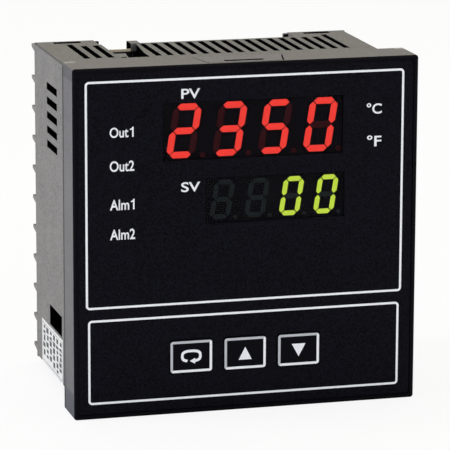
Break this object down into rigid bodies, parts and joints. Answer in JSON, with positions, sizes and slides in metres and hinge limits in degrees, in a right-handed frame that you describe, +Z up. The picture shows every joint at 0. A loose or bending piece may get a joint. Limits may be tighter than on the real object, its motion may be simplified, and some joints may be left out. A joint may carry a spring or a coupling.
{
  "type": "temperature controller",
  "caption": "Square panel-mounted temperature controller with two digit displays, press keys, a vented rear case with screw terminals and a pull-out front chassis.",
  "frame": {"origin": "centre of the plane where the front frame's rear ring seats on a panel (y = 0)", "axes": "+X to the right seen from the front, +Y towards the rear, +Z up"},
  "size_m": [0.096, 0.0643, 0.096],
  "materials": {
    "rear_case": "fine spark-eroded texture, mid grey",
    "terminal_block_left": "moulded, mid grey",
    "terminal_block_right": "moulded, mid grey",
    "terminal_plates_left": "tin plated",
    "terminal_plates_right": "tin plated",
    "terminal_screws": "zinc plated",
    "rating_label": "printed label stock",
    "front_bezel": "fine texture, grey sides, black front rim",
    "front_overlay": "printed film, blue-black, satin",
    "display_lens": "smoke tinted, clear",
    "pv_display": "matt black face",
    "sv_display": "matt black face",
    "pv_lit_segments": "lit red diffuser",
    "pv_dark_segments": "unlit red diffuser",
    "sv_lit_segments": "lit yellow-green diffuser",
    "sv_dark_segments": "unlit diffuser",
    "indicator_leds": "moulded lamp lens",
    "key_scroll": "satin black cap",
    "key_up": "satin black cap",
    "key_down": "satin black cap",
    "switch_button_scroll": "moulded black",
    "switch_button_up": "moulded black",
    "switch_button_down": "moulded black",
    "tact_switches": "tinned cover",
    "display_board": "green solder mask",
    "board_screws": "zinc plated",
    "main_board": "green solder mask",
    "power_board": "green solder mask",
    "transformer_coil": "black tape",
    "transformer_core": "varnished lamination stack",
    "output_relays": "moulded black",
    "filter_capacitors": "dark sleeve",
    "microcontroller": "moulded black",
    "board_connectors": "moulded natural",
    "rear_insulation": "cream insulating sheet"
  },
  "bodies": {
    "case": {"rear_case": "rear_case", "terminal_block_left": "terminal_block_left", "terminal_block_right": "terminal_block_right", "terminal_plates_left": "terminal_plates_left", "terminal_plates_right": "terminal_plates_right", "terminal_screws": "terminal_screws", "rating_label": "rating_label", "rear_insulation": "rear_insulation"},
    "chassis": {"front_bezel": "front_bezel", "front_overlay": "front_overlay", "display_lens": "display_lens", "pv_display": "pv_display", "sv_display": "sv_display", "pv_lit_segments": "pv_lit_segments", "pv_dark_segments": "pv_dark_segments", "sv_lit_segments": "sv_lit_segments", "sv_dark_segments": "sv_dark_segments", "indicator_leds": "indicator_leds", "tact_switches": "tact_switches", "display_board": "display_board", "board_screws": "board_screws", "main_board": "main_board", "power_board": "power_board", "transformer_coil": "transformer_coil", "transformer_core": "transformer_core", "output_relays": "output_relays", "filter_capacitors": "filter_capacitors", "microcontroller": "microcontroller", "board_connectors": "board_connectors"},
    "key_scroll": {"key_scroll": "key_scroll", "switch_button_scroll": "switch_button_scroll"},
    "key_up": {"key_up": "key_up", "switch_button_up": "switch_button_up"},
    "key_down": {"key_down": "key_down", "switch_button_down": "switch_button_down"}
  },
  "joints": [
    {"name": "chassis_slide", "type": "slide", "parent": "case", "child": "chassis", "axis": [0, -1, 0], "range_m": [0, 0.05]},
    {"name": "key_scroll_press", "type": "slide", "parent": "chassis", "child": "key_scroll", "axis": [0, 1, 0], "range_m": [0, 0.0004], "stiffness_N_per_m": 4000},
    {"name": "key_up_press", "type": "slide", "parent": "chassis", "child": "key_up", "axis": [0, 1, 0], "range_m": [0, 0.0004], "stiffness_N_per_m": 4000},
    {"name": "key_down_press", "type": "slide", "parent": "chassis", "child": "key_down", "axis": [0, 1, 0], "range_m": [0, 0.0004], "stiffness_N_per_m": 4000}
  ]
}
